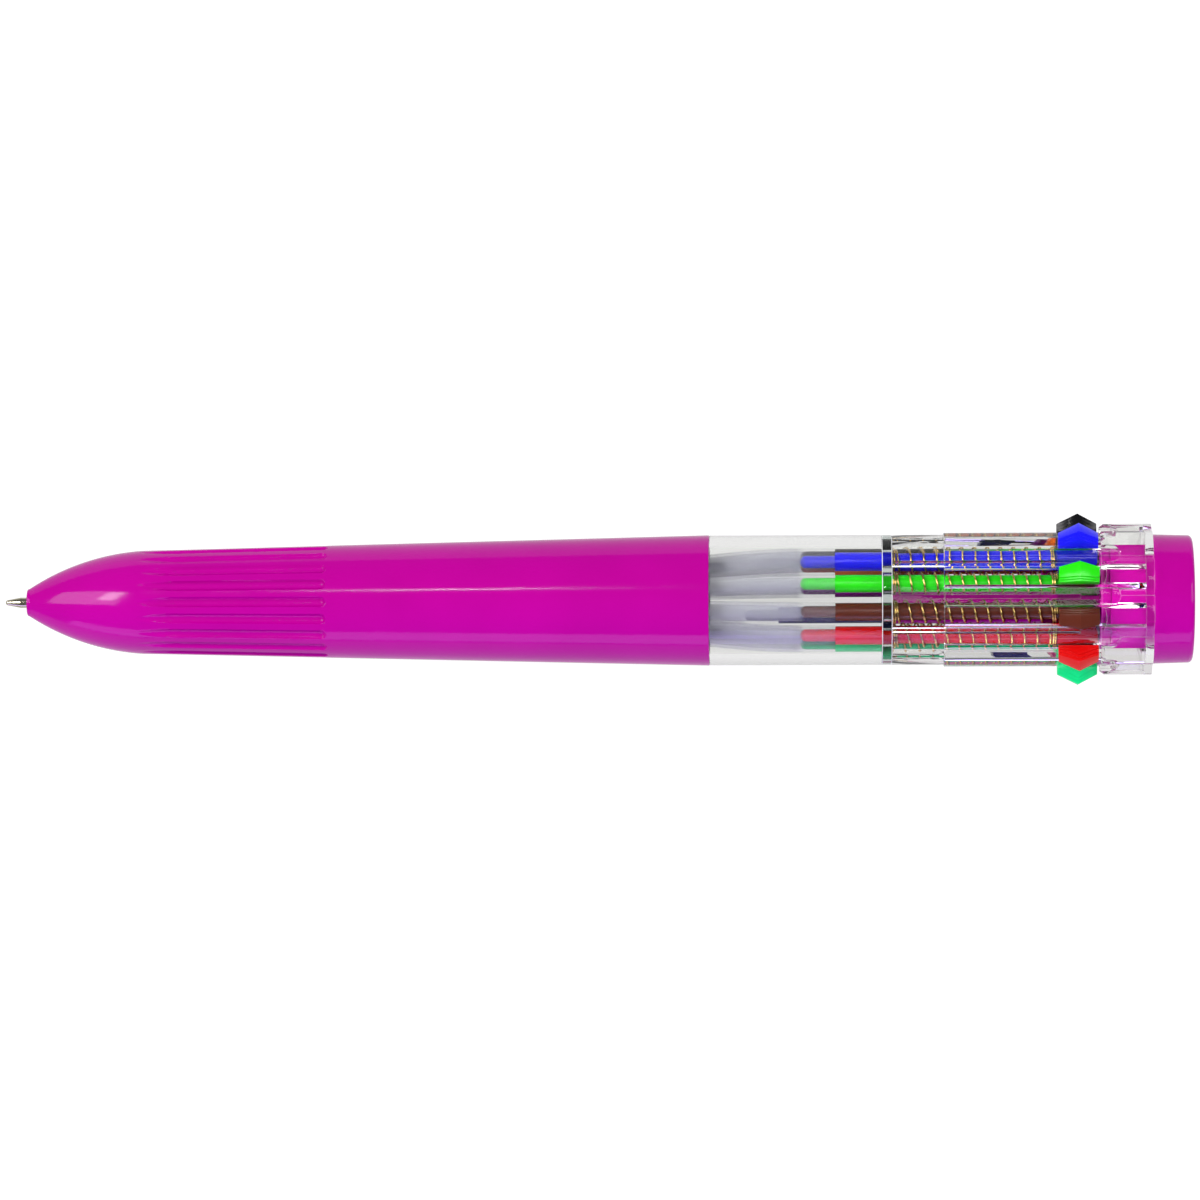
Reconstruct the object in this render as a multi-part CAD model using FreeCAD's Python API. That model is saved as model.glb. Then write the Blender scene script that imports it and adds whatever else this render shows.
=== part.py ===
import FreeCAD, Part

import math
import os

# Ten-colour click pen.  Millimetres, +Z up.  The pen's axis lies along X, with the nose towards -X.
# While the pieces are made, x = 0 is the nose face and the axis is at y = z = 0; the last step
# moves the whole pen so that the origin is under its middle, on the surface that it lies on.
# A station is a slider's angle about the axis, from +Z towards +Y.

os.makedirs("parts", exist_ok=True)

vec = FreeCAD.Vector
AXIS_X = vec(1, 0, 0)

# ---- driving dimensions --------------------------------------------------------------------------

# colours in order round the pen; the first station is half a pitch from +Z
colours = ["green", "blue", "black", "orange", "purple", "navy", "pink", "teal", "red", "brown"]
extended = "navy"             # the colour that is pushed forward and latched
slider_travel = 7.0

# lengths along the axis
lower_barrel_len = 84.5       # nose face to the clear window
window_len = 21.2             # clear window between the barrel and the guide disc
disc_thick = 1.3              # guide disc
slotted_len = 25.5            # slotted barrel, from the disc to the crown
crown_len = 6.4               # flared crown at the back of the slotted barrel
cap_len = 5.0                 # what shows of the end plug

# sliders
rod_r = 1.05
rod_len = 27.3                # from the refill's end to the button
pin_r = 0.7
pin_len = 4.3
neck_w = 2.0                  # the part that runs in the slot
button_len = 4.9
button_edge_h = 1.0           # top of its front and back faces, over the slotted barrel
button_ridge_h = 2.25         # its ridge, over the slotted barrel
button_ridge_at = 0.52        # share of the button's length, from its front
button_w = 1.9                # across the top step, at its middle
button_steps = 3              # grip steps, each wider and lower than the one above
step_w = 0.17                 # each side
step_h = 0.42
button_waist = 0.28           # how much narrower the button's ends are, each side

# springs
spring_wire_r = 0.125
spring_turns = 13

# refills
tube_wall = 0.4
tip_len = 10.0                # brass tip, from the ball to the tube's end
tip_ball_r = 0.35
tip_cone_len = 1.85
tip_nib_r = 0.64
tip_nib_len = 4.65
tip_flare_len = 1.5
tip_body_r = 0.95
tip_spigot_len = 1.2
tip_protrusion = 2.72         # of the extended tip
tube_front_bend_r = 14.0
tube_splay_front = 24.0       # ahead of the refill's back end, where it starts to splay out
tube_splay_rear = 2.5
swan_start = 1.7              # behind the extended tip, where its tube leaves the axis
swan_len = 28.0

# lower barrel
nose_face_r = 1.45
nose_edge_round = 0.25
nose_len = 14.5               # where the nose's curve meets the straight taper
nose_bulge = 0.985            # height of the nose's curve over its chord
nose_wall = 0.97
nose_hole_len = 1.6
barrel_lip = 0.04             # the lower barrel's back end stands proud of the window

# grip flutes
flute_count = 20
flute_front_x = 14.2          # where it starts, with no depth
flute_full_x = 18.6           # where it has reached its depth
flute_rear_x = 36.8           # centre of its round back end
flute_r = 0.66
flute_turn = -3.0             # the first flute, from +Z
flute_lift = 0.2              # height of its centre over the surface

# clear window and its joint with the lower barrel
spigot_len = 4.0
spigot_wall = 0.55

# slotted barrel and crown
rear_wall = 1.0               # behind the guide disc
slot_wall = 1.26              # along the slots
slot_front_gap = 6.4          # guide disc to the front of the slots
rib_w = 0.5
rib_h = 0.6
rib_back_gap = 2.5            # from the ribs' ends to the crown
crown_flare = 1.03            # the lobes, one behind each slider, over the slotted barrel
crown_valley = 0.22           # between two lobes
crown_shoulder = 0.7
crown_shoulder_drop = 0.4
crown_rear_wall = 1.0
crown_lobe_wall = 0.63
notch_w = 2.6                 # D-shaped recess between two lobes
notch_len = 2.3

# end plug and core post
cap_taper = 0.12
cap_round = 0.55
plug_insert_step = 0.42       # the plug's insert, inside the slotted barrel's bore
core_r = 3.0
core_collar_len = 2.0
core_flange_len = 1.3
core_flange_inset = 0.3       # inside the plug's insert

# clearances
fit_fixed = 0.03              # between pieces that are pressed or welded together
fit_running = 0.05            # between a rod and its hole, and a pin and its refill
fit_slot = 0.2                # slider's neck in its slot, each side
face_gap = 0.02               # between faces that meet
spring_rod_gap = 0.175
spring_side_gap = 0.1937      # half the gap between two neighbouring springs
spring_shell_gap = 0.145
collar_spring_gap = 0.175
foot_collar_gap = 0.15
button_gap = 0.1              # between the button and the slotted barrel's outside
button_crown_gap = 0.3        # to the crown's front face, when pulled back
tip_gap = 0.02                # half the gap between two refills where they crowd together
tip_cone_gap = 0.2            # round the ring of retracted balls
bore_gap = 0.1                # round the ring of tubes
tube_window_gap = 0.12        # round the tubes where they reach the rods

# ---- places and sizes worked out from them -------------------------------------------------------

window_x = lower_barrel_len
disc_x = window_x + window_len
rear_x = disc_x + disc_thick
slot_x = rear_x + slot_front_gap
crown_x = rear_x + slotted_len
cap_x = crown_x + crown_len
pen_rear_x = cap_x + cap_len
button_x = crown_x - button_crown_gap - button_len
rod_x = button_x - rod_len
pitch_angle = 360 / len(colours)
crowding = math.sin(math.radians(pitch_angle / 2))

# ten springs side by side, one on each slider's rod
spring_mean_r = rod_r + spring_rod_gap + spring_wire_r
spring_outer_r = spring_mean_r + spring_wire_r
slider_circle_r = (spring_outer_r + spring_side_gap) / crowding     # the rods' circle about the axis
rear_bore_r = slider_circle_r + spring_outer_r + spring_shell_gap
rear_body_r = rear_bore_r + rear_wall
slot_body_r = rear_bore_r + slot_wall
slot_w = neck_w + 2 * fit_slot
crown_peak_r = slot_body_r + crown_flare
crown_valley_r = slot_body_r + crown_valley
window_r = rear_body_r
barrel_rear_r = window_r + barrel_lip
cap_r = rear_body_r - barrel_lip
plug_insert_r = rear_bore_r - plug_insert_step
core_collar_r = slider_circle_r - spring_outer_r - collar_spring_gap
slider_foot_r = core_collar_r + foot_collar_gap

# ten refills side by side in a ring just clear each other, at their nibs, bodies and tubes
tube_bore_r = pin_r + fit_running
tube_r = tube_bore_r + tube_wall
tip_ring_r = (tip_nib_r + tip_gap) / crowding           # circle of the retracted balls
tip_body_at = (tip_cone_len + tip_nib_len + tip_flare_len) / tip_len
tip_body_ring_r = (tip_body_r + tip_gap) / crowding
tip_tail_ring_r = max(                                  # circle of the retracted tips' back ends
    (tube_r + tip_gap) / crowding,
    tip_ring_r + (tip_body_ring_r - tip_ring_r) / tip_body_at,
)
tip_slope = math.asin((tip_tail_ring_r - tip_ring_r) / tip_len)
tube_ring_r = (
    tip_tail_ring_r
    + (tip_spigot_len + 2 * face_gap) * math.sin(tip_slope)
    + tube_front_bend_r * (1 - math.cos(tip_slope))
)
retracted_tip_x = slider_travel - tip_protrusion
cone_front_x = retracted_tip_x
cone_front_r = tip_ring_r + tip_ball_r + tip_cone_gap
cone_rear_x = retracted_tip_x + tip_len * math.cos(tip_slope)
bore_front_r = tube_ring_r + tube_r + bore_gap
window_bore_r = slider_circle_r + tube_r + tube_window_gap
spigot_r = window_bore_r + spigot_wall
nose_end_r = bore_front_r + nose_wall


# ---- helpers -------------------------------------------------------------------------------------

def turned(points, arcs=()):
    """A solid of revolution about the pen's axis. points are (x, r); arcs maps the index of an edge
    to a point that the edge curves through."""
    bends = dict(arcs)
    edges = []
    for i, (x, r) in enumerate(points):
        start = vec(x, 0, r)
        next_x, next_r = points[(i + 1) % len(points)]
        end = vec(next_x, 0, next_r)
        if i in bends:
            mid_x, mid_r = bends[i]
            edges.append(Part.Arc(start, vec(mid_x, 0, mid_r), end).toShape())
        else:
            edges.append(Part.LineSegment(start, end).toShape())
    face = Part.Face(Part.Wire(edges))
    return face.revolve(vec(0, 0, 0), AXIS_X, 360)


def cylinder(x, length, radius, z=0.0):
    return Part.makeCylinder(radius, length, vec(x, 0, z), AXIS_X)


def at_station(shape, angle):
    """A copy of a shape that was made at +Z, turned to its place about the axis."""
    copy = shape.copy()
    copy.rotate(vec(0, 0, 0), AXIS_X, -angle)
    return copy


def slot_angles():
    return [(i + 0.5) * pitch_angle for i in range(len(colours))]


def strip_angles():
    return [i * pitch_angle for i in range(len(colours))]


def bulged(start, end, height):
    """The middle of an arc between two (x, r) points that stands out from its chord by height."""
    run_x = end[0] - start[0]
    run_r = end[1] - start[1]
    chord = math.hypot(run_x, run_r)
    middle_x = (start[0] + end[0]) / 2 - height * run_r / chord
    middle_r = (start[1] + end[1]) / 2 + height * run_x / chord
    return middle_x, middle_r


def barrel_r(x):
    """Outside radius of the lower barrel's straight taper, at x."""
    share = (x - nose_len) / (lower_barrel_len - nose_len)
    return nose_end_r + (barrel_rear_r - nose_end_r) * share


def lobed_prism(x, length, peak_r, valley_r):
    """A prism about the axis whose outline is one arc behind each slider."""
    edges = []
    for angle in slot_angles():
        corners = []
        for offset, radius in ((-0.5, valley_r), (0, peak_r), (0.5, valley_r)):
            a = math.radians(angle + offset * pitch_angle)
            corners.append(vec(x, radius * math.sin(a), radius * math.cos(a)))
        edges.append(Part.Arc(*corners).toShape())
    face = Part.Face(Part.Wire(edges))
    return face.extrude(vec(length, 0, 0))


# ---- casing --------------------------------------------------------------------------------------

def make_lower_barrel():
    hole_r = tip_nib_r + fit_running
    socket_r = spigot_r + fit_fixed
    socket_x = lower_barrel_len - spigot_len - face_gap
    nose_face = (0, nose_face_r)
    nose_rim = (nose_edge_round, nose_face_r + nose_edge_round)
    nose_end = (nose_len, nose_end_r)
    rim_bulge = nose_edge_round * (1 - math.sqrt(0.5))
    outside = turned(
        [
            (0, 0),
            nose_face,
            nose_rim,
            nose_end,
            (lower_barrel_len, barrel_rear_r),
            (lower_barrel_len, 0),
        ],
        {
            1: bulged(nose_face, nose_rim, rim_bulge),
            2: bulged(nose_rim, nose_end, nose_bulge),
        },
    )
    inside = turned(
        [
            (-1, 0),
            (-1, hole_r),
            (nose_hole_len, hole_r),
            (cone_front_x, cone_front_r),
            (cone_rear_x, bore_front_r),
            (socket_x, window_bore_r),
            (socket_x, socket_r),
            (lower_barrel_len + 1, socket_r),
            (lower_barrel_len + 1, 0),
        ]
    )
    return outside.cut(inside).cut(Part.Compound(grip_flutes()))


def grip_flutes():
    front = vec(flute_front_x, 0, barrel_r(flute_front_x) + flute_r)
    full = vec(flute_full_x, 0, barrel_r(flute_full_x) + flute_lift)
    rear = vec(flute_rear_x, 0, barrel_r(flute_rear_x) + flute_lift)
    groove = Part.makeSphere(flute_r, rear)
    for start, end in ((front, full), (full, rear)):
        run = end - start
        groove = groove.fuse(Part.makeCylinder(flute_r, run.Length, start, run))
    flute = groove.fuse(Part.makeSphere(flute_r, full)).removeSplitter()
    return [at_station(flute, flute_turn + i * 360 / flute_count) for i in range(flute_count)]


def make_window_tube():
    return turned(
        [
            (window_x - spigot_len, window_bore_r),
            (window_x - spigot_len, spigot_r),
            (window_x + face_gap, spigot_r),
            (window_x + face_gap, window_r),
            (disc_x, window_r),
            (disc_x, window_bore_r),
        ]
    )


def make_guide_disc():
    disc = cylinder(disc_x + face_gap, disc_thick - 2 * face_gap, window_r)
    hole = cylinder(disc_x, disc_thick, rod_r + fit_running, slider_circle_r)
    return disc.cut(Part.Compound([at_station(hole, a) for a in slot_angles()]))


def make_slotted_barrel():
    body = turned(
        [
            (rear_x, 0),
            (rear_x, rear_body_r),
            (slot_x - 0.1, rear_body_r),
            (slot_x, slot_body_r),
            (crown_x, slot_body_r),
            (crown_x, 0),
        ]
    )
    body = body.fuse(make_crown())
    body = body.cut(cylinder(rear_x - 1, slotted_len + crown_len - crown_rear_wall + 1, rear_bore_r))
    body = body.cut(cylinder(rear_x, slotted_len + crown_len + 1, plug_insert_r + fit_fixed))
    slot_len = cap_x - crown_rear_wall - slot_x
    slot = Part.makeBox(
        slot_len,
        slot_w,
        crown_peak_r - crown_lobe_wall,
        vec(slot_x, -slot_w / 2, 0),
    )
    notch = Part.makeBox(notch_len - notch_w / 2, notch_w, 4, vec(crown_x, -notch_w / 2, slot_body_r))
    notch_end = Part.makeCylinder(
        notch_w / 2, 4, vec(crown_x + notch_len - notch_w / 2, 0, slot_body_r), vec(0, 0, 1)
    )
    notch = notch.fuse(notch_end)
    rib = Part.makeBox(
        slotted_len - rib_back_gap,
        rib_w,
        rib_h + rear_wall / 3,
        vec(rear_x, -rib_w / 2, rear_bore_r - rib_h),
    )
    body = body.cut(Part.Compound([at_station(slot, a) for a in slot_angles()]))
    body = body.cut(Part.Compound([at_station(notch, a) for a in strip_angles()]))
    return body.fuse([at_station(rib, a) for a in strip_angles()]).removeSplitter()


def make_crown():
    lobes = lobed_prism(crown_x, crown_len, crown_peak_r, crown_valley_r)
    shoulder = turned(
        [
            (crown_x, 0),
            (crown_x, crown_peak_r - crown_shoulder_drop),
            (crown_x + crown_shoulder, crown_peak_r + 0.1),
            (cap_x, crown_peak_r + 0.1),
            (cap_x, 0),
        ]
    )
    return lobes.common(shoulder)


def make_end_plug():
    insert_x = crown_x + core_flange_len + face_gap
    rear_r = cap_r - cap_taper
    round_mid = cap_round * (1 - math.sqrt(0.5))
    return turned(
        [
            (insert_x, 0),
            (insert_x, plug_insert_r),
            (cap_x + face_gap, plug_insert_r),
            (cap_x + face_gap, cap_r),
            (pen_rear_x - cap_round, rear_r),
            (pen_rear_x, rear_r - cap_round),
            (pen_rear_x, 0),
        ],
        {4: (pen_rear_x - round_mid, rear_r - round_mid)},
    )


def make_core_post():
    post = cylinder(rear_x, crown_x - rear_x, core_r)
    collar_x = button_x - core_collar_len
    collar = cylinder(collar_x, core_collar_len, core_collar_r)
    flange = cylinder(crown_x, core_flange_len, plug_insert_r - core_flange_inset)
    return post.fuse([collar, flange]).removeSplitter()


# ---- sliders and springs -------------------------------------------------------------------------

def button_step(level):
    """One grip step of the button: its roof-shaped side view, cut to a waisted plan."""
    x0 = button_x
    x1 = button_x + button_len
    ridge_x = x0 + button_ridge_at * button_len
    under_r = slot_body_r + button_gap
    drop = level * step_h
    half_w = button_w / 2 + level * step_w
    end_w = half_w - button_waist
    edge_r = slot_body_r + button_edge_h - drop
    ridge_r = slot_body_r + button_ridge_h - drop
    side_view = [
        vec(x0, -half_w, under_r),
        vec(x0, -half_w, edge_r),
        vec(ridge_x, -half_w, ridge_r),
        vec(x1, -half_w, edge_r),
        vec(x1, -half_w, under_r),
    ]
    plan = [
        vec(x0, -end_w, under_r),
        vec(ridge_x, -half_w, under_r),
        vec(x1, -end_w, under_r),
        vec(x1, end_w, under_r),
        vec(ridge_x, half_w, under_r),
        vec(x0, end_w, under_r),
    ]
    roof = Part.Face(Part.makePolygon(side_view + side_view[:1])).extrude(vec(0, 2 * half_w, 0))
    column = Part.Face(Part.makePolygon(plan + plan[:1])).extrude(vec(0, 0, ridge_r))
    return roof.common(column)


def make_slider():
    """A slider at the +Z station, pulled back: pin, rod, latch lug, and the button that stands out
    of its slot."""
    neck = Part.makeBox(
        button_len,
        neck_w,
        slot_body_r + button_gap - slider_foot_r,
        vec(button_x, -neck_w / 2, slider_foot_r),
    )
    rod = cylinder(rod_x, rod_len, rod_r, slider_circle_r)
    pin_start = rod_x - pin_len + pin_r
    nose = Part.makeSphere(pin_r, vec(pin_start, 0, slider_circle_r))
    pin = cylinder(pin_start, pin_len - pin_r, pin_r, slider_circle_r)
    steps = [button_step(level) for level in range(button_steps)]
    return neck.fuse([rod, nose, pin] + steps).removeSplitter()


def make_spring(length):
    rise = length - 2 * (spring_wire_r + face_gap)
    helix = Part.makeHelix(rise / spring_turns, rise, spring_mean_r)
    section = Part.Wire(Part.makeCircle(spring_wire_r, vec(spring_mean_r, 0, 0), vec(0, 1, 0)))
    spring = Part.Wire(helix).makePipeShell([section], True, True)
    spring.rotate(vec(0, 0, 0), vec(0, 1, 0), 90)
    spring.translate(vec(rear_x + spring_wire_r + face_gap, 0, slider_circle_r))
    return spring


# ---- refills -------------------------------------------------------------------------------------

def make_tip(is_extended):
    """Brass tip with its ball, on the axis when it is extended; otherwise it lies on the cone that
    the ten retracted tips share."""
    nib_end = tip_cone_len + tip_nib_len
    flare_end = nib_end + tip_flare_len
    spigot_r = tube_bore_r - fit_fixed
    tip = turned(
        [
            (0, 0),
            (tip_ball_r, tip_ball_r),
            (tip_cone_len, tip_nib_r),
            (nib_end, tip_nib_r),
            (flare_end, tip_body_r),
            (tip_len, tip_body_r),
            (tip_len, spigot_r),
            (tip_len + tip_spigot_len, spigot_r),
            (tip_len + tip_spigot_len, 0),
        ],
        {0: (tip_ball_r * (1 - math.sqrt(0.5)), tip_ball_r * math.sqrt(0.5))},
    )
    if is_extended:
        tip.translate(vec(-tip_protrusion, 0, 0))
    else:
        tip.rotate(vec(0, 0, 0), vec(0, 1, 0), -math.degrees(tip_slope))
        tip.translate(vec(retracted_tip_x, 0, tip_ring_r))
    return tip


def s_bend(start, length, rise):
    """Two equal arcs that carry a line along +X over to a parallel line, rise higher."""
    middle = start + vec(length / 2, 0, rise / 2)
    end = start + vec(length, 0, rise)
    radius = (length**2 + rise**2) / (4 * rise)
    half = math.asin(length / 2 / radius) / 2
    drop = radius * (1 - math.cos(half))
    reach = radius * math.sin(half)
    return [
        Part.Arc(start, start + vec(reach, 0, drop), middle).toShape(),
        Part.Arc(middle, end - vec(reach, 0, drop), end).toShape(),
    ]


def retracted_front():
    """The first edges of a retracted tube, up to where it runs along the pen."""
    slope = vec(math.cos(tip_slope), 0, math.sin(tip_slope))
    start = vec(retracted_tip_x, 0, tip_ring_r) + slope * (tip_len + face_gap)
    knee = start + slope * (tip_spigot_len + face_gap)
    centre = knee + vec(math.sin(tip_slope), 0, -math.cos(tip_slope)) * tube_front_bend_r
    half = tip_slope / 2
    middle = centre + vec(-math.sin(half), 0, math.cos(half)) * tube_front_bend_r
    end = centre + vec(0, 0, tube_front_bend_r)
    return [Part.LineSegment(start, knee).toShape(), Part.Arc(knee, middle, end).toShape()], end


def extended_front():
    """The first edges of the extended tube, from the axis out to its place in the ring of tubes."""
    start = vec(tip_len - tip_protrusion + face_gap, 0, 0)
    bend = start + vec(swan_start, 0, 0)
    edges = [Part.LineSegment(start, bend).toShape()] + s_bend(bend, swan_len, tube_ring_r)
    return edges, bend + vec(swan_len, 0, tube_ring_r)


def make_tube(is_extended):
    """Flexible refill tube at the +Z station, from its brass tip to the slider's rod."""
    edges, ring = extended_front() if is_extended else retracted_front()
    shift = slider_travel if is_extended else 0
    rear_end_x = rod_x - shift - face_gap
    splay_len = tube_splay_front - tube_splay_rear
    splay = vec(rear_end_x - tube_splay_front, 0, ring.z)
    edges.append(Part.LineSegment(ring, splay).toShape())
    edges += s_bend(splay, splay_len, slider_circle_r - ring.z)
    tail = splay + vec(splay_len, 0, slider_circle_r - ring.z)
    edges.append(Part.LineSegment(tail, vec(rear_end_x, 0, slider_circle_r)).toShape())
    route = Part.Wire(edges)
    start = route.Edges[0].valueAt(route.Edges[0].FirstParameter)
    heading = route.Edges[0].tangentAt(route.Edges[0].FirstParameter)
    solids = []
    for radius in (tube_r, tube_bore_r):
        ring_wire = Part.Wire(Part.makeCircle(radius, start, heading))
        solids.append(route.makePipeShell([ring_wire], True, False))
    return solids[0].cut(solids[1])


# ---- assembly ------------------------------------------------------------------------------------

nodes = {
    "lower_barrel": make_lower_barrel(),
    "window_tube": make_window_tube(),
    "guide_disc": make_guide_disc(),
    "slotted_barrel": make_slotted_barrel(),
    "end_plug": make_end_plug(),
    "core_post": make_core_post(),
}
slider = make_slider()
spring_room = button_x - rear_x
for colour, angle in zip(colours, slot_angles()):
    forward = slider_travel if colour == extended else 0.0
    placed = slider.copy()
    placed.translate(vec(-forward, 0, 0))
    pieces = {
        "slider": placed,
        "spring": make_spring(spring_room - forward),
        "refill_tube": make_tube(colour == extended),
        "refill_tip": make_tip(colour == extended),
    }
    for name, piece in pieces.items():
        nodes[f"{name}_{colour}"] = at_station(piece, angle)

boxes = [shape.optimalBoundingBox(False, False) for shape in nodes.values()]
middle_x = (min(b.XMin for b in boxes) + max(b.XMax for b in boxes)) / 2
lowest_z = min(b.ZMin for b in boxes)
for name, shape in nodes.items():
    shape.translate(vec(-middle_x, 0, -lowest_z))
    shape.exportStep(f"parts/{name}.step")
    print(name, shape.isValid(), len(shape.Solids), round(shape.Volume, 2))
print("nose face at x =", round(-middle_x, 4), "pen axis at z =", round(-lowest_z, 4))
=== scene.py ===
import math

import bpy
from mathutils import Matrix, Vector


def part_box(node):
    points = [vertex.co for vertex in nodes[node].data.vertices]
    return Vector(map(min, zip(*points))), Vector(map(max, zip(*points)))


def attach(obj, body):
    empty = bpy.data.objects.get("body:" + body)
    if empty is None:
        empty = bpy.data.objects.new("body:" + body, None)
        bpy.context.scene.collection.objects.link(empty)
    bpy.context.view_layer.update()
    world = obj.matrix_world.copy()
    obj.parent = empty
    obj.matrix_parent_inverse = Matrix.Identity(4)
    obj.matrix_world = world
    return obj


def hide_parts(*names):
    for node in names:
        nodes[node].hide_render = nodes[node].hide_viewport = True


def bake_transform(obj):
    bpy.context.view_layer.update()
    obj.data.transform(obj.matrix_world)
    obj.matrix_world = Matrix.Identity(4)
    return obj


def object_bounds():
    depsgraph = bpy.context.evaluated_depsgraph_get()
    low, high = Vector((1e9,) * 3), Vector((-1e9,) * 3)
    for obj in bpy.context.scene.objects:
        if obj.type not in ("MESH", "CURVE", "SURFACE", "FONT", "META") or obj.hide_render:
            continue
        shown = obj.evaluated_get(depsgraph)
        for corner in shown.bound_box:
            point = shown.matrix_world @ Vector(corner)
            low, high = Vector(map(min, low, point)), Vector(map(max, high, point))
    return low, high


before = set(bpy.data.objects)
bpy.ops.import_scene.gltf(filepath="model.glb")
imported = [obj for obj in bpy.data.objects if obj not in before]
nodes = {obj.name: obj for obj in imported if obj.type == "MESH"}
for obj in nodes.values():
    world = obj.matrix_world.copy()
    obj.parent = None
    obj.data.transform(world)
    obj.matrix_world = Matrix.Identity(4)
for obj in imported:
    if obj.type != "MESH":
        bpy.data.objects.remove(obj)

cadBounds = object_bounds()
fullTurn = math.radians(360)
weld = 0.000001             # points closer than this are one
colours = ["green", "blue", "black", "orange", "purple", "navy", "pink", "teal", "red", "brown"]

# where the pen's axis and its main faces are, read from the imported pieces
windowLow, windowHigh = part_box("window_tube")
barrelLow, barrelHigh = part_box("lower_barrel")
circleRadius = 0.0054       # the rods' circle about the pen's axis
penAxis = Vector((0, (windowLow.y + windowHigh.y) / 2, (windowLow.z + windowHigh.z) / 2))


def pickNothing():
    bpy.ops.object.select_all(action="DESELECT")


def makeActive(piece):
    pickNothing()
    piece.select_set(True)
    bpy.context.view_layer.objects.active = piece
    return piece


def applyModifiers(piece):
    makeActive(piece)
    for modifier in list(piece.modifiers):
        bpy.ops.object.modifier_apply(modifier=modifier.name)


def applyPlace(piece):
    makeActive(piece)
    bpy.ops.object.transform_apply(location=True, rotation=True, scale=True)


def faceOutwards(piece):
    makeActive(piece)
    bpy.ops.object.mode_set(mode="EDIT")
    bpy.ops.mesh.select_all(action="SELECT")
    bpy.ops.mesh.remove_doubles(threshold=weld)
    bpy.ops.mesh.normals_make_consistent(inside=False)
    bpy.ops.object.mode_set(mode="OBJECT")


def smoothBelow(piece, degrees):
    makeActive(piece)
    bpy.ops.object.shade_smooth_by_angle(angle=math.radians(degrees))


def stationAngle(index):
    # the sliders stand evenly round the pen, with the first just past the top
    return fullTurn * (index + 0.5) / len(colours)


def turnToStation(piece, angle):
    # pieces are made above the axis, then turned about it
    spin = Matrix.Translation(penAxis) @ Matrix.Rotation(-angle, 4, "X") @ Matrix.Translation(-penAxis)
    piece.data.transform(spin)
    piece.data.update()


print("stage: node sheets")


class Level:
    # a number or colour on its way through a material, used in plain expressions
    def __init__(self, sheet, socket):
        self.sheet = sheet
        self.socket = socket

    def math(self, operation, first, second):
        return self.sheet.add("ShaderNodeMath", {"operation": operation}, {0: first, 1: second})

    def __add__(self, other):
        return self.math("ADD", self, other)

    __radd__ = __add__

    def __sub__(self, other):
        return self.math("SUBTRACT", self, other)

    def __rsub__(self, other):
        return self.math("SUBTRACT", other, self)

    def __mul__(self, other):
        return self.math("MULTIPLY", self, other)

    __rmul__ = __mul__

    def __pow__(self, other):
        return self.math("POWER", self, other)


class Sheet:
    # one material and its nodes
    def __init__(self, name):
        self.material = bpy.data.materials.new(name)
        self.material.use_nodes = True
        self.tree = self.material.node_tree
        self.shader = self.tree.nodes["Principled BSDF"]

    def add(self, kind, settings=None, sockets=None, out=0):
        node = self.tree.nodes.new(kind)
        for key, value in (settings or {}).items():
            if key == "stops":
                self.setStops(node.color_ramp, value)
            else:
                setattr(node, key, value)
        for key, value in (sockets or {}).items():
            self.feed(node.inputs[key], value)
        return Level(self, node.outputs[out])

    def setStops(self, ramp, stops):
        while len(ramp.elements) < len(stops):
            ramp.elements.new(1.0)
        for element, (position, colour) in zip(ramp.elements, stops):
            element.position = position
            element.color = (*colour, 1.0) if len(colour) == 3 else colour

    def feed(self, socket, value):
        if isinstance(value, Level):
            self.tree.links.new(value.socket, socket)
        elif isinstance(value, tuple) and socket.type == "RGBA" and len(value) == 3:
            socket.default_value = (*value, 1.0)
        else:
            socket.default_value = value

    def surface(self, **sockets):
        for key, value in sockets.items():
            self.feed(self.shader.inputs[key], value)
        return self.material

    def letLampsThrough(self, share):
        # lamps reach what is inside a clear piece
        shadow = self.add("ShaderNodeLightPath", None, None, "Is Shadow Ray")
        seeThrough = self.add("ShaderNodeBsdfTransparent", None, {"Color": (share, share, share)})
        glass = Level(self, self.shader.outputs[0])
        both = self.add("ShaderNodeMixShader", None, {0: shadow, 1: glass, 2: seeThrough})
        self.feed(self.tree.nodes["Material Output"].inputs["Surface"], both)
        return self.material

    def place(self):
        return self.add("ShaderNodeTexCoord", None, None, "Object")

    def parts(self, vector):
        split = self.tree.nodes.new("ShaderNodeSeparateXYZ")
        self.feed(split.inputs[0], vector)
        return [Level(self, split.outputs[n]) for n in range(3)]

    def noise(self, scale, detail=3.0, roughness=0.5, stretch=(1, 1, 1)):
        spread = self.add("ShaderNodeMapping", None, {"Vector": self.place(), "Scale": stretch})
        return self.add("ShaderNodeTexNoise", None,
                        {"Vector": spread, "Scale": scale, "Detail": detail, "Roughness": roughness})

    def ramp(self, level, stops):
        return self.add("ShaderNodeValToRGB", {"stops": stops}, {"Fac": level})

    def fit(self, level, fromLow, fromHigh, toLow, toHigh):
        return self.add("ShaderNodeMapRange", {"interpolation_type": "SMOOTHSTEP"},
                        {"Value": level, "From Min": fromLow, "From Max": fromHigh,
                         "To Min": toLow, "To Max": toHigh})

    def bump(self, height, strength, distance):
        return self.add("ShaderNodeBump", None,
                        {"Height": height, "Strength": strength, "Distance": distance})


print("stage: materials")

magentaPlastic = {
    "colour": (0.49, 0.0, 0.295),
    "deepColour": (0.45, 0.0, 0.27),
    "roughness": 0.10,
    "ior": 1.25,
    "moulding": 0.00002,
}


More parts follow.
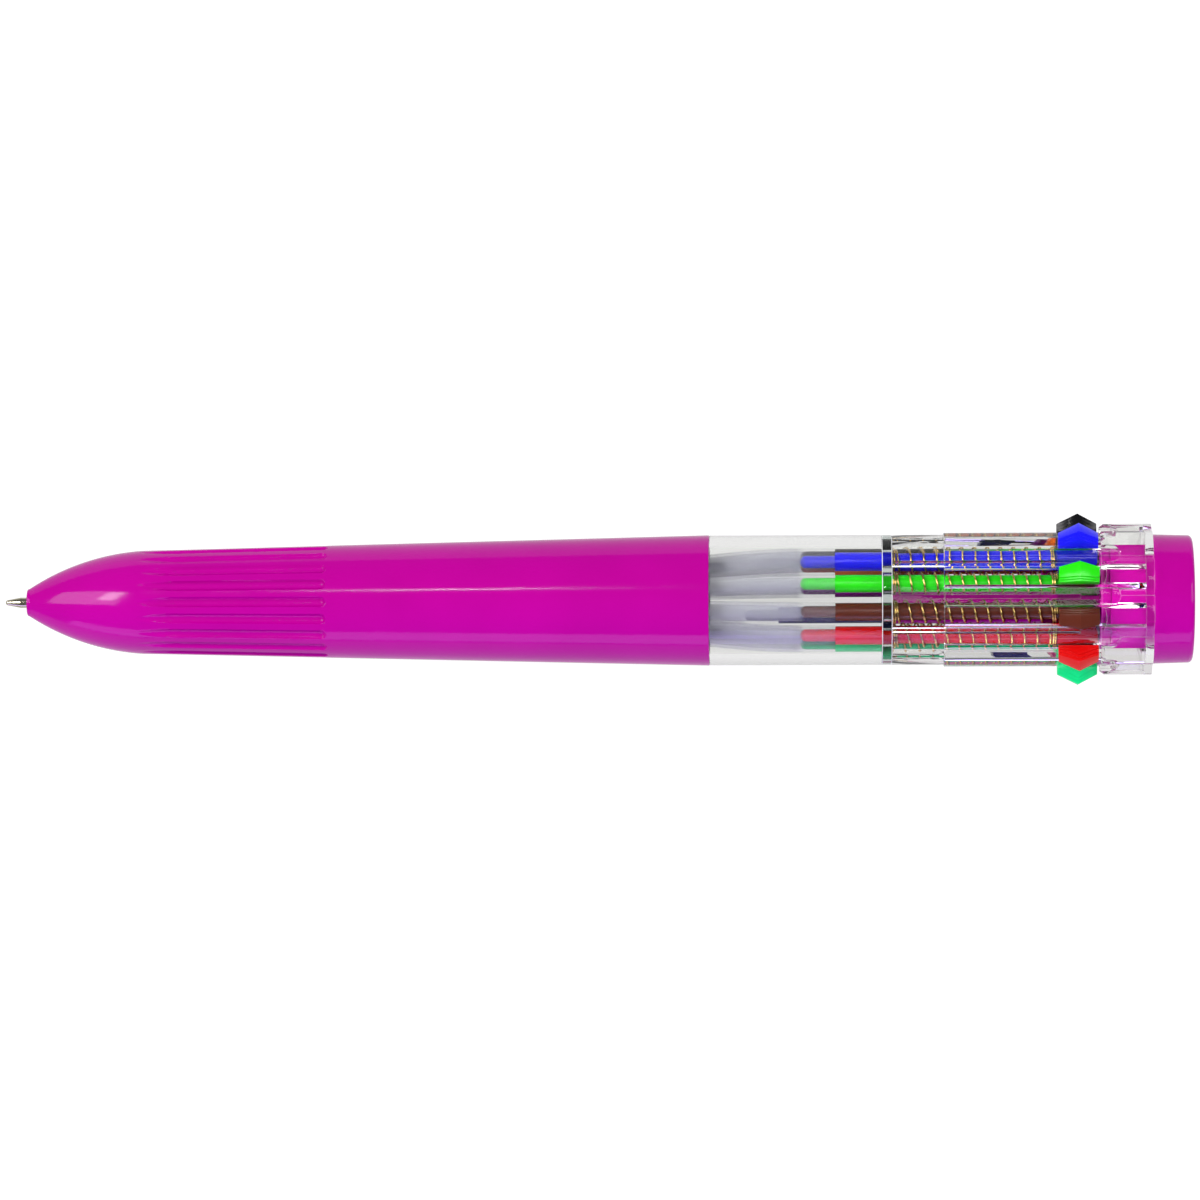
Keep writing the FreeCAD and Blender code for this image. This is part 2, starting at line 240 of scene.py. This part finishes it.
def makeMagenta():
    sheet = Sheet("magentaPlastic")
    cloud = sheet.noise(90, 2)
    colour = sheet.ramp(cloud, [(0.3, magentaPlastic["deepColour"]), (0.7, magentaPlastic["colour"])])
    fine = sheet.noise(900, 3, stretch=(0.3, 1, 1))
    gloss = magentaPlastic["roughness"]
    roughness = sheet.fit(fine, 0.3, 0.7, gloss - 0.02, gloss + 0.03)
    normal = sheet.bump(sheet.noise(260, 2), 0.15, magentaPlastic["moulding"])
    return sheet.surface(**{"Base Color": colour, "Roughness": roughness, "Normal": normal,
                            "IOR": magentaPlastic["ior"]})


clearPlastic = {
    "colour": (0.95, 0.955, 0.94),
    "discColour": (0.62, 0.68, 0.65),
    "edgeOn": 0.62,           # how dark a wall seen edge on is
    "roughness": 0.015,
    # colour and opacity of the painted highlight on the clear pieces' eased edges
    "edgeHighlightColour": (0.95, 0.96, 0.95),
    "edgeHighlightAlpha": 0.85,
    "ior": 1.26,
    "lampShare": 0.77,        # of a lamp's light that passes each face
}


def makeClear(name, colour, edgeOn=1.0):
    sheet = Sheet(name)
    swirl = sheet.noise(160, 2, stretch=(0.2, 1, 1))
    gloss = clearPlastic["roughness"]
    roughness = sheet.fit(swirl, 0.3, 0.7, gloss - 0.01, gloss + 0.01)
    normal = sheet.bump(sheet.noise(220, 2, stretch=(0.25, 1, 1)), 0.06, 0.00002)
    # a wall seen edge on is a longer way through the plastic
    facing = sheet.add("ShaderNodeLayerWeight", None, {"Blend": 0.5}, "Facing")
    deep = tuple(edgeOn * c for c in colour)
    tint = sheet.ramp(facing, [(0.55, colour), (0.97, deep)])
    sheet.surface(**{"Base Color": tint, "Roughness": roughness, "Normal": normal,
                     "Transmission Weight": 1.0, "IOR": clearPlastic["ior"]})
    return sheet.letLampsThrough(clearPlastic["lampShare"])


def makeEdgeHighlight():
    # eased edges of the clear pieces, given a near-white, mostly opaque colour as a painted highlight
    # where the real edges catch the light
    sheet = Sheet("paintedEdgeHighlight")
    cloud = sheet.noise(600, 2)
    dim = tuple(0.8 * c for c in clearPlastic["edgeHighlightColour"])
    colour = sheet.ramp(cloud, [(0.3, dim), (0.7, clearPlastic["edgeHighlightColour"])])
    roughness = sheet.fit(cloud, 0.3, 0.7, 0.12, 0.22)
    return sheet.surface(**{"Base Color": colour, "Roughness": roughness,
                            "Alpha": clearPlastic["edgeHighlightAlpha"]})


sliderColours = {
    "green": (0.02, 0.82, 0.004),
    "blue": (0.012, 0.010, 0.95),
    "black": (0.003, 0.003, 0.004),
    "orange": (0.90, 0.16, 0.005),
    "purple": (0.24, 0.003, 0.24),
    "navy": (0.010, 0.008, 0.12),
    "pink": (0.90, 0.10, 0.32),
    "teal": (0.006, 0.75, 0.22),
    "red": (0.70, 0.003, 0.003),
    "brown": (0.112, 0.021, 0.009),
}


sliderPlastic = {
    "rodTop": 0.0066,         # from the pen's axis
    "buttonFoot": 0.0084,
    "rodShade": 0.62,
    "ior": 1.35,
}


def makeSliderPlastic(name, colour):
    sheet = Sheet(f"slider{name.capitalize()}")
    # painted shade: the rod, deep inside the barrel, is coloured darker than the button, standing in for
    # the shade that falls there
    x, y, z = sheet.parts(sheet.place())
    radius = (y ** 2 + (z - penAxis.z) ** 2) ** 0.5
    outside = sheet.fit(radius, sliderPlastic["rodTop"], sliderPlastic["buttonFoot"], 0.0, 1.0)
    level = outside * 0.75 + sheet.noise(350, 2) * 0.25
    # the rod's colour darkened by rodShade, as painted shade
    deep = tuple(sliderPlastic["rodShade"] * c for c in colour)
    mixed = sheet.ramp(level, [(0.1, deep), (0.85, colour)])
    roughness = sheet.fit(sheet.noise(1800, 3), 0.3, 0.7, 0.16, 0.26)
    normal = sheet.bump(sheet.noise(1200, 2), 0.12, 0.00001)
    return sheet.surface(**{"Base Color": mixed, "Roughness": roughness, "Normal": normal,
                            "IOR": sliderPlastic["ior"]})


frostedTube = {
    "colour": (0.46, 0.47, 0.52),
    "deepColour": (0.33, 0.34, 0.40),
    "alpha": 0.26,
    "wetAlpha": 0.08,         # where the slider's pin fills the tube
}


def makeFrosted():
    sheet = Sheet("frostedTube")
    cloud = sheet.noise(500, 2, stretch=(0.15, 1, 1))
    colour = sheet.ramp(cloud, [(0.3, frostedTube["deepColour"]), (0.7, frostedTube["colour"])])
    roughness = sheet.fit(cloud, 0.3, 0.7, 0.3, 0.42)
    pin = sheet.add("ShaderNodeAttribute", {"attribute_name": "pinSpan"}, None, "Fac")
    alpha = (1 - pin) * frostedTube["alpha"] + pin * frostedTube["wetAlpha"]
    return sheet.surface(**{"Base Color": colour, "Roughness": roughness, "Alpha": alpha})


metals = {
    # name: colour, darker colour, roughness
    "springBrass": ((0.72, 0.50, 0.17), (0.44, 0.29, 0.09), 0.22),
    "nickelSilver": ((0.50, 0.47, 0.36), (0.38, 0.35, 0.24), 0.16),
}


def makeMetal(name, colour, dark, roughness):
    sheet = Sheet(name)
    cloud = sheet.noise(700, 3)
    mixed = sheet.ramp(cloud, [(0.3, dark), (0.65, colour)])
    rough = sheet.fit(sheet.noise(2500, 3), 0.3, 0.7, roughness - 0.05, roughness + 0.08)
    return sheet.surface(**{"Base Color": mixed, "Roughness": rough, "Metallic": 1.0})


magenta = makeMagenta()
clear = makeClear("clearPlastic", clearPlastic["colour"])
clearMoulded = makeClear("mouldedPlastic", clearPlastic["colour"], clearPlastic["edgeOn"])
clearDisc = makeClear("discPlastic", clearPlastic["discColour"], clearPlastic["edgeOn"])
paintedEdgeHighlight = makeEdgeHighlight()
frosted = makeFrosted()
springBrass = makeMetal("springBrass", *metals["springBrass"])
nickelSilver = makeMetal("nickelSilver", *metals["nickelSilver"])
sliderPlastics = {name: makeSliderPlastic(name, colour) for name, colour in sliderColours.items()}


def finish(piece, material):
    piece.data.materials.clear()
    piece.data.materials.append(material)


for name in ("end_plug", "core_post"):
    finish(nodes[name], magenta)
for name in colours:
    finish(nodes[f"refill_tip_{name}"], nickelSilver)

finish(nodes["window_tube"], clear)

print("stage: lower barrel")

barrel = {
    "noseFace": 0.00145,
    "noseEdge": 0.00025,      # rounding of the nose face
    "noseLength": 0.0145,
    "noseEnd": 0.006403,      # radius where the nose meets the straight taper
    "noseBulge": 0.000985,    # how far its curve stands out from the chord
    "rear": 0.00806,
    "rearEdge": 0.00008,
    "hole": 0.00069,
    "holeLength": 0.0016,
    "coneFront": 0.002686,    # bore round the retracted tips
    "coneRear": 0.005433,
    "bore": 0.00667,
    "socket": 0.00725,        # for the window's spigot
    "socketLength": 0.00402,
    "coneStart": 0.00428,     # from the nose's face
    "coneEnd": 0.01414,
    "flutes": 20,
    "fluteRadius": 0.00066,
    "fluteLift": 0.0002,
    "fluteTurn": -3.0,
    "fluteFront": 0.0142,     # no depth here
    "fluteFull": 0.0186,      # full depth from here
    "fluteRear": 0.0368,
    "fluteSoftness": 0.00006,
    "stepsPerFlute": 28,
}


def arcRadius(start, end, bulge, x):
    # radius at x of an arc from start to end that stands out from its chord by bulge
    runX, runR = end[0] - start[0], end[1] - start[1]
    chord = math.hypot(runX, runR)
    radius = (chord * chord / 4 + bulge * bulge) / (2 * bulge)
    middleX, middleR = (start[0] + end[0]) / 2, (start[1] + end[1]) / 2
    centreX = middleX + (radius - bulge) * runR / chord
    centreR = middleR - (radius - bulge) * runX / chord
    return centreR + math.sqrt(max(radius * radius - (x - centreX) ** 2, 0))


def taperRadius(x):
    share = (x - barrel["noseLength"]) / (barrelLength - barrel["noseLength"])
    return barrel["noseEnd"] + (barrel["rear"] - barrel["noseEnd"]) * share


def outsideRadius(x):
    if x >= barrel["noseLength"]:
        return taperRadius(x)
    edge = barrel["noseEdge"]
    if x <= edge:
        return barrel["noseFace"] + math.sqrt(edge * edge - (edge - x) ** 2)
    return arcRadius((edge, barrel["noseFace"] + edge), (barrel["noseLength"], barrel["noseEnd"]),
                     barrel["noseBulge"], x)


def grooveRadius(x, offset):
    # bottom of a flute, as far from the axis as it is at an angle from the flute's middle
    along = min(x, barrel["fluteRear"])
    ease = max(barrel["fluteFull"] - x, 0) / (barrel["fluteFull"] - barrel["fluteFront"])
    lift = barrel["fluteLift"] + ease * (barrel["fluteRadius"] - barrel["fluteLift"])
    centre = taperRadius(along) + lift
    side = centre * math.sin(offset)
    inside = barrel["fluteRadius"] ** 2 - side * side - (x - along) ** 2
    if inside <= 0:
        return None
    return centre * math.cos(offset) - math.sqrt(inside)


def softLower(first, second, softness):
    gap = max(softness - abs(first - second), 0) / softness
    return min(first, second) - gap * gap * softness / 4


barrelLength = barrelHigh.x - barrelLow.x


def barrelStations():
    steps = []
    edge = barrel["noseEdge"]
    steps += [edge * (1 - math.cos(math.radians(n * 15))) for n in range(7)]
    x = 0.0006
    while x < barrelLength - barrel["rearEdge"]:
        steps.append(x)
        nearRear = abs(x - barrel["fluteRear"] - barrel["fluteRadius"] / 2) < 0.0008
        nearFront = 0.013 < x < 0.019
        x += 0.00007 if nearRear else 0.00035 if nearFront else 0.0006 if x < 0.04 else 0.003
    return steps + [barrelLength - barrel["rearEdge"]]


def makeBarrel():
    # one side of its section, as a chain of points from the hole round the nose to the back
    length = barrelLength
    outline = [(x, outsideRadius(x)) for x in barrelStations()]
    outline += [(length, barrel["rear"] - barrel["rearEdge"])]
    inside = [(length, barrel["socket"]), (length - barrel["socketLength"], barrel["socket"]),
              (length - barrel["socketLength"], barrel["bore"]), (barrel["coneEnd"], barrel["coneRear"]),
              (barrel["coneStart"], barrel["coneFront"]),
              (barrel["holeLength"], barrel["hole"]), (0, barrel["hole"])]
    chain = outline + inside
    bpy.ops.mesh.primitive_circle_add(vertices=len(chain), radius=0.01)
    piece = bpy.context.object
    piece.name = piece.data.name = "barrelShell"
    for point, (x, radius) in zip(piece.data.vertices, chain):
        point.co = (x, 0, radius)
    screw = piece.modifiers.new("turn", "SCREW")
    screw.axis = "X"
    screw.angle = fullTurn
    screw.steps = screw.render_steps = barrel["flutes"] * barrel["stepsPerFlute"]
    screw.use_merge_vertices = True
    screw.merge_threshold = weld
    applyModifiers(piece)
    pitch = fullTurn / barrel["flutes"]
    turn = math.radians(barrel["fluteTurn"])
    for point in piece.data.vertices:
        x, y, z = point.co
        radius = math.hypot(y, z)
        fluted = barrel["fluteFront"] - 0.0012 <= x <= barrel["fluteRear"] + barrel["fluteRadius"]
        if not fluted or radius < outsideRadius(x) - 0.0001:      # the bore stays as it is
            continue
        angle = math.atan2(y, z) - turn
        offset = angle - pitch * round(angle / pitch)
        groove = grooveRadius(x, offset)
        if groove is None:
            continue
        lower = softLower(radius, groove, barrel["fluteSoftness"])
        point.co.y *= lower / radius
        point.co.z *= lower / radius
    piece.data.transform(Matrix.Translation((barrelLow.x, penAxis.y, penAxis.z)))
    faceOutwards(piece)
    smoothBelow(piece, 40)
    finish(piece, magenta)
    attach(piece, "casing")
    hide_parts("lower_barrel")
    return piece


barrelShell = makeBarrel()

print("stage: sliders and clear pieces")

edging = {
    # bevel width, sharpest angle left alone
    "slider": (0.00005, 28),
    "slotted_barrel": (0.00009, 35),
    "guide_disc": (0.00009, 35),
}
clearPieces = {
    # node: its piece, its plastic
    "slotted_barrel": ("slottedShell", clearMoulded),
    "guide_disc": ("guideDisc", clearDisc),
}


def edgedCopy(node, name, finishes, width, sharpest):
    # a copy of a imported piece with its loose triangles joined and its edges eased
    piece = nodes[node].copy()
    piece.data = nodes[node].data.copy()
    piece.name = piece.data.name = name
    piece.parent = None
    bpy.context.scene.collection.objects.link(piece)
    makeActive(piece)
    bpy.ops.object.mode_set(mode="EDIT")
    bpy.ops.mesh.select_all(action="SELECT")
    bpy.ops.mesh.remove_doubles(threshold=weld)
    bpy.ops.mesh.dissolve_limited(angle_limit=math.radians(1))
    bpy.ops.object.mode_set(mode="OBJECT")
    bevel = piece.modifiers.new("ease", "BEVEL")
    bevel.width = width
    bevel.segments = 2
    bevel.limit_method = "ANGLE"
    bevel.angle_limit = math.radians(sharpest)
    # the bevel faces take the last finish, which for the clear pieces is the painted edge highlight
    bevel.material = len(finishes) - 1
    piece.data.materials.clear()
    for material in finishes:
        piece.data.materials.append(material)
    applyModifiers(piece)
    smoothBelow(piece, 30)
    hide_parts(node)
    return piece


for name in colours:
    finishes = [sliderPlastics[name]]
    piece = edgedCopy(f"slider_{name}", f"slider{name.capitalize()}", finishes, *edging["slider"])
    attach(piece, f"slider_{name}")
for node, (name, plastic) in clearPieces.items():
    piece = edgedCopy(node, name, [plastic, paintedEdgeHighlight], *edging[node])
    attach(piece, "casing")

print("stage: springs")

spring = {
    "wire": 0.000125,
    "coil": 0.00135,        # radius of the coil's middle line
    "turns": 16.0,
    "closedTurns": 2.0,     # lying against each other at each end
    "closedPitch": 0.00027,
    "woundPitch": 0.002,    # while it is wound, before its turns are spaced
    "steps": 26,
    "sides": 8,
}


def coiledTo(turn, length):
    # how far along the spring a turn lies
    closed = spring["closedTurns"] * spring["closedPitch"]
    openTurns = spring["turns"] - 2 * spring["closedTurns"]
    if turn <= spring["closedTurns"]:
        return turn * spring["closedPitch"]
    if turn >= spring["turns"] - spring["closedTurns"]:
        return length - (spring["turns"] - turn) * spring["closedPitch"]
    return closed + (turn - spring["closedTurns"]) * (length - 2 * closed) / openTurns


def makeSpring(name, start, end):
    length = end - start - 2 * spring["wire"]
    bpy.ops.mesh.primitive_circle_add(vertices=spring["sides"], radius=spring["wire"],
                                      location=(0, 0, spring["coil"]), rotation=(math.radians(90), 0, 0))
    piece = bpy.context.object
    piece.name = piece.data.name = name
    applyPlace(piece)
    screw = piece.modifiers.new("wind", "SCREW")
    screw.axis = "X"
    screw.angle = fullTurn * spring["turns"]
    screw.screw_offset = spring["turns"] * spring["woundPitch"]
    screw.steps = screw.render_steps = int(spring["turns"] * spring["steps"])
    screw.use_smooth_shade = True
    applyModifiers(piece)
    for point in piece.data.vertices:
        swept = math.atan2(-point.co.y, point.co.z) / fullTurn
        turn = swept + round(point.co.x / spring["woundPitch"] - swept)
        point.co.x += coiledTo(turn, length) - turn * spring["woundPitch"]
    bpy.ops.object.mode_set(mode="EDIT")
    bpy.ops.mesh.select_all(action="DESELECT")
    bpy.ops.mesh.select_non_manifold()
    bpy.ops.mesh.fill()
    bpy.ops.object.mode_set(mode="OBJECT")
    faceOutwards(piece)
    smoothBelow(piece, 60)
    return piece


for index, name in enumerate(colours):
    springLow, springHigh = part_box(f"spring_{name}")
    piece = makeSpring(f"spring{name.capitalize()}", springLow.x, springHigh.x)
    seat = Vector((springLow.x + spring["wire"], penAxis.y, penAxis.z + circleRadius))
    piece.data.transform(Matrix.Translation(seat))
    turnToStation(piece, stationAngle(index))
    finish(piece, springBrass)
    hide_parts(f"spring_{name}")
    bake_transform(piece)

print("stage: refill tubes")

refill = {
    "radius": 0.00115,
    "wall": 0.0004,
    "sides": 20,
    "cuts": 90,
    "tailRing": 0.003786,     # circle of the retracted tips' back ends
    "slope": 9.4995,
    "lean": 0.00019,          # how far a leaning tube's front edge stands past its middle
    "spigot": 0.00122,        # straight run behind the tip
    "bend": 0.014,
    "splayFront": 0.024,
    "splayRear": 0.0025,
    "swanStart": 0.0017,
    "swanLength": 0.028,
    "pinLength": 0.0046,      # of the slider's pin that plugs the tube
    "flex": 0.030,            # how much of the tube flexes when it is pushed
    "flexNavy": 0.024,        # and when the one in use is pulled back
}


def sBend(share, length, rise):
    # height of two equal arcs that carry a line over by rise, at share of their length
    radius = (length * length + rise * rise) / (4 * rise)
    x = share * length
    if share < 0.5:
        return radius - math.sqrt(radius * radius - x * x)
    return rise - radius + math.sqrt(radius * radius - (length - x) ** 2)


def ringRadius():
    slope = math.radians(refill["slope"])
    straight = refill["spigot"] * math.sin(slope)
    return refill["tailRing"] + straight + refill["bend"] * (1 - math.cos(slope))


def tubeHeight(x, front, rear, extended):
    # the tube's distance from the pen's axis, at x between its two ends
    ring = ringRadius()
    splay = rear - refill["splayFront"]
    splayLength = refill["splayFront"] - refill["splayRear"]
    if x > splay:
        return ring + sBend(min((x - splay) / splayLength, 1), splayLength, circleRadius - ring)
    if extended:
        share = (x - front - refill["swanStart"]) / refill["swanLength"]
        return sBend(min(max(share, 0), 1), refill["swanLength"], ring)
    slope = math.radians(refill["slope"])
    knee = front + refill["spigot"] * math.cos(slope)
    level = knee + refill["bend"] * math.sin(slope)
    if x < knee:
        return refill["tailRing"] + (x - front) * math.tan(slope)
    if x < level:
        return ring - refill["bend"] + math.sqrt(refill["bend"] ** 2 - (level - x) ** 2)
    return ring


def makeTube(name, front, rear, extended):
    bpy.ops.mesh.primitive_cylinder_add(vertices=refill["sides"], radius=refill["radius"],
                                        depth=rear - front, end_fill_type="NOTHING",
                                        location=((front + rear) / 2, 0, 0),
                                        rotation=(0, math.radians(90), 0))
    piece = bpy.context.object
    piece.name = piece.data.name = name
    applyPlace(piece)
    bpy.ops.object.mode_set(mode="EDIT")
    bpy.ops.mesh.select_all(action="DESELECT")
    bpy.ops.mesh.select_mode(type="EDGE")
    bpy.ops.object.mode_set(mode="OBJECT")
    for edge in piece.data.edges:
        ends = [piece.data.vertices[v].co.x for v in edge.vertices]
        edge.select = abs(ends[0] - ends[1]) > 0.001
    bpy.ops.object.mode_set(mode="EDIT")
    bpy.ops.mesh.subdivide_edgering(number_cuts=refill["cuts"], interpolation="LINEAR", smoothness=0)
    bpy.ops.mesh.select_all(action="SELECT")
    bpy.ops.mesh.normals_make_consistent(inside=False)
    bpy.ops.mesh.select_mode(type="VERT")
    bpy.ops.object.mode_set(mode="OBJECT")
    wall = piece.modifiers.new("wall", "SOLIDIFY")
    wall.thickness = refill["wall"]
    wall.offset = -1
    applyModifiers(piece)
    step = 0.00005      # for the tube's slope
    pinSpan = piece.data.attributes.new("pinSpan", "FLOAT", "POINT")
    for point in piece.data.vertices:
        x = point.co.x
        pinSpan.data[point.index].value = 1.0 if x > rear - refill["pinLength"] else 0.0
        height = tubeHeight(x, front, rear, extended)
        ahead = tubeHeight(max(x - step, front), front, rear, extended)
        behind = tubeHeight(min(x + step, rear), front, rear, extended)
        lean = math.atan2(behind - ahead, 2 * step)
        point.co.x = x - point.co.z * math.sin(lean)
        point.co.z = penAxis.z + height + point.co.z * math.cos(lean)
        point.co.y += penAxis.y
    smoothBelow(piece, 50)
    return piece


for index, name in enumerate(colours):
    tubeLow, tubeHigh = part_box(f"refill_tube_{name}")
    front = tubeLow.x + (0 if name == "navy" else refill["lean"])
    flex = refill["flexNavy"] if name == "navy" else refill["flex"]
    piece = makeTube(f"refill{name.capitalize()}", front, tubeHigh.x, name == "navy")
    turnToStation(piece, stationAngle(index))
    finish(piece, frosted)
    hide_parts(f"refill_tube_{name}")
    front + flex
    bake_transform(piece)

print("stage: floor, lights and camera")

studio = {
    "floorSize": 14.0,
    "distance": 0.78,        # camera to the pen's axis
    "frameWidth": 0.1483,    # what the view spans there
    "elevation": 87.0,
    "lean": 1.85,            # the pen's axis leans towards the camera at its back end
    "roll": 0.19,
    "shiftX": 0.00038,
    "shiftY": 0.0001,
    "floorTilt": 1.77,
}


def makeFloor():
    middleX = (cadBounds[0][0] + cadBounds[1][0]) / 2
    bpy.ops.mesh.primitive_plane_add(size=studio["floorSize"], location=(middleX, 0, 0))
    floor = bpy.context.object
    floor.name = "floor"
    sliderLow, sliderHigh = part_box("slider_purple")
    restX = sliderHigh.x
    floor.rotation_euler = (0, math.radians(studio["floorTilt"]), 0)
    lift = (restX - middleX) * math.sin(math.radians(studio["floorTilt"]))
    floor.location.z = lift - 0.0002
    applyPlace(floor)
    sheet = Sheet("paleFloor")
    cloud = sheet.noise(4, 2)
    colour = sheet.ramp(cloud, [(0.0, (0.10, 0.10, 0.10)), (1.0, (0.13, 0.13, 0.13))])
    seen = sheet.add("ShaderNodeLightPath", None, None, "Is Camera Ray")
    glow = sheet.ramp(seen, [(0.0, (0.72, 0.72, 0.72)), (1.0, (1, 1, 1))])
    finish(floor, sheet.surface(**{"Base Color": colour, "Roughness": 0.9, "IOR": 1.05,
                                   "Emission Color": glow, "Emission Strength": 1.0}))
    return floor


def makeLight(name, place, size, power, aim):
    bpy.ops.object.light_add(type="AREA", location=place)
    light = bpy.context.object
    light.name = name
    light.data.shape = "RECTANGLE"
    light.data.size, light.data.size_y = size
    light.data.energy = power
    light.rotation_euler = (Vector(aim) - Vector(place)).to_track_quat("-Z", "Y").to_euler()
    return light


def makeCamera():
    elevation = math.radians(studio["elevation"])
    lean = math.radians(studio["lean"])
    aim = Vector((studio["shiftX"], studio["shiftY"], penAxis.z))
    away = Vector((math.sin(lean), -math.cos(elevation), math.cos(lean) * math.sin(elevation)))
    away.normalize()
    bpy.ops.object.camera_add(location=aim + away * studio["distance"])
    camera = bpy.context.object
    camera.name = "camera"
    right = Vector((1, 0, 0)) - away * away.x
    right.normalize()
    up = away.cross(right)
    turn = Matrix((right, up, away)).transposed().to_4x4()
    camera.matrix_world = (Matrix.Translation(camera.location) @ turn
                           @ Matrix.Rotation(math.radians(-studio["roll"]), 4, "Z"))
    camera.data.sensor_width = 36
    camera.data.lens = 36 * studio["distance"] / studio["frameWidth"]
    camera.data.clip_start = 0.01
    camera.data.clip_end = 20
    bpy.context.scene.camera = camera
    return camera


floor = makeFloor()
lights = {
    # name: place, size, power, colour
    "ceilingLeft": ((-0.9, 0.2, 1.0), (0.7, 0.9), 11, (1, 1, 1)),
    "ceilingRight": ((0.95, 0.2, 1.0), (0.7, 0.9), 11, (1, 1, 1)),
    "windowBox": ((-0.36, 0.13, 0.60), (0.20, 0.10), 1.25, (1, 0.93, 1)),
    "stripBox": ((-0.09, 0.235, 0.66), (0.055, 0.008), 0.14, (1, 1, 1)),
    "lowBox": ((0.0, -0.85, 0.20), (1.6, 0.30), 6.0, (0.55, 0.42, 1)),
}
for name, (place, size, power, tint) in lights.items():
    lamp = makeLight(name, place, size, power, (0, 0, 0))
    lamp.data.color = tint
camera = makeCamera()
world = bpy.data.worlds.new("studioWorld")
bpy.context.scene.world = world
world.use_nodes = True
world.node_tree.nodes["Background"].inputs["Color"].default_value = (0.9, 0.93, 1.0, 1.0)
world.node_tree.nodes["Background"].inputs["Strength"].default_value = 0.2
bpy.context.scene.view_settings.view_transform = "Standard"
